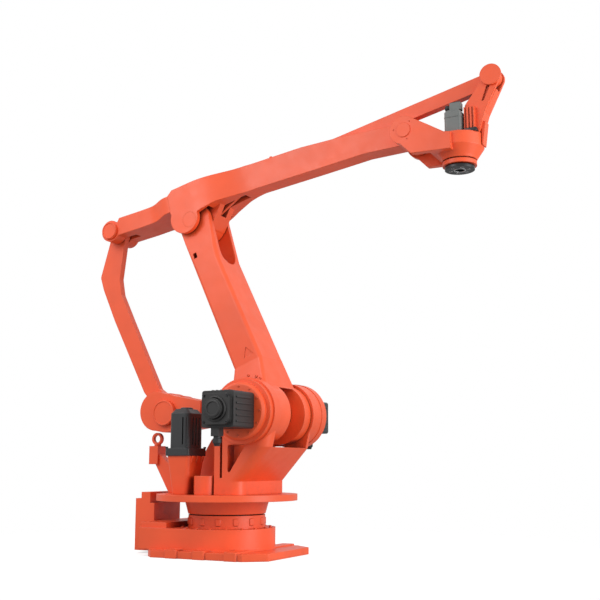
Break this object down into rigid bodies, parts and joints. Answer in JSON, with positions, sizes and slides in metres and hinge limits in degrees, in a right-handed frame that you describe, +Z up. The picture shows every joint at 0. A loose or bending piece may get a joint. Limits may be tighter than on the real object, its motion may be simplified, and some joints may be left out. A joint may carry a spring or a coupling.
{
  "type": "palletizing robot arm",
  "caption": "Floor-standing industrial robot arm with a swing column, parallel-link forearm and a levelled wrist for stacking goods.",
  "frame": {"origin": "centre of the foot plate's bolt pattern on the floor, on the swing axis", "axes": "+X along the reach of the arm at rest, +Y to the robot's left, +Z up"},
  "size_m": [2.6159, 1.218, 2.5728],
  "materials": {
    "paint": "satin orange paint",
    "motor_black": "matt black motor",
    "motor_grey": "dark grey motor",
    "wrist_grey": "mid grey motor",
    "steel": "machined steel",
    "panel": "grey connector plate",
    "flange": "blackened steel"
  },
  "bodies": {
    "base_body": {"base": "paint", "connector_panel": "panel"},
    "column_body": {"turntable": "paint", "column": "paint", "lifting_eye": "steel", "swing_gear_housing": "paint", "swing_motor": "motor_black", "cable_ring": "paint", "shoulder_reducer": "paint", "shoulder_motor": "motor_grey", "elbow_reducer": "paint", "elbow_motor": "motor_grey"},
    "lower_arm_body": {"lower_arm": "paint", "elbow_pin": "steel"},
    "crank_body": {"crank": "paint"},
    "crank_pin_body": {"crank_pin": "paint"},
    "rear_link_body": {"rear_link": "paint"},
    "lever_body": {"level_lever": "paint"},
    "forearm_body": {"forearm": "paint", "elbow_caps": "paint", "rear_arm": "paint", "rear_pin": "paint"},
    "wrist_body": {"wrist_yoke": "paint", "wrist_pin": "paint", "wrist_ring": "paint", "level_bracket": "paint", "bracket_pin": "paint", "wrist_motor": "wrist_grey"},
    "rod_body": {"level_rod": "paint"},
    "flange_body": {"tool_flange": "flange"}
  },
  "joints": [
    {"name": "swing", "type": "hinge", "parent": "base_body", "child": "column_body", "pos_m": [0, 0, 0.3], "axis": [0, 0, 1], "range_deg": [-180, 180]},
    {"name": "shoulder", "type": "hinge", "parent": "column_body", "child": "lower_arm_body", "pos_m": [0.265, 0, 0.778], "axis": [0, 1, 0], "range_deg": [-10.5, 68]},
    {"name": "elbow_drive", "type": "hinge", "parent": "column_body", "child": "crank_body", "pos_m": [0.265, 0, 0.778], "axis": [0, 1, 0], "range_deg": [-3, 30]},
    {"name": "crank_pin_turn", "type": "hinge", "parent": "crank_body", "child": "crank_pin_body", "pos_m": [-0.36481, 0, 0.79339], "axis": [0, 1, 0], "range_deg": [-30, 3]},
    {"name": "link_turn", "type": "hinge", "parent": "crank_pin_body", "child": "rear_link_body", "pos_m": [-0.36481, 0, 0.79339], "axis": [0, 1, 0], "range_deg": [-10.5, 68]},
    {"name": "lever_level", "type": "hinge", "parent": "lower_arm_body", "child": "lever_body", "pos_m": [-0.1858, 0, 1.92241], "axis": [0, 1, 0], "range_deg": [-68, 10.5]},
    {"name": "forearm_turn", "type": "hinge", "parent": "lever_body", "child": "forearm_body", "pos_m": [-0.1858, 0, 1.92241], "axis": [0, 1, 0], "range_deg": [-3, 30]},
    {"name": "wrist_level", "type": "hinge", "parent": "forearm_body", "child": "wrist_body", "pos_m": [1.15768, 0, 2.25489], "axis": [0, 1, 0], "range_deg": [-30, 3]},
    {"name": "rod_turn", "type": "hinge", "parent": "wrist_body", "child": "rod_body", "pos_m": [1.61325, 0, 2.5158], "axis": [0, 1, 0], "range_deg": [-3, 30]},
    {"name": "tool_turn", "type": "hinge", "parent": "wrist_body", "child": "flange_body", "pos_m": [1.41667, 0, 2.05989], "axis": [0, 0, 1], "range_deg": [-180, 180]}
  ],
  "couplings": [
    {"joint": "crank_pin_turn", "follows": "elbow_drive", "ratio": -1},
    {"joint": "link_turn", "follows": "shoulder", "ratio": 1},
    {"joint": "lever_level", "follows": "shoulder", "ratio": -1},
    {"joint": "forearm_turn", "follows": "elbow_drive", "ratio": 1},
    {"joint": "wrist_level", "follows": "elbow_drive", "ratio": -1},
    {"joint": "rod_turn", "follows": "elbow_drive", "ratio": 1}
  ]
}
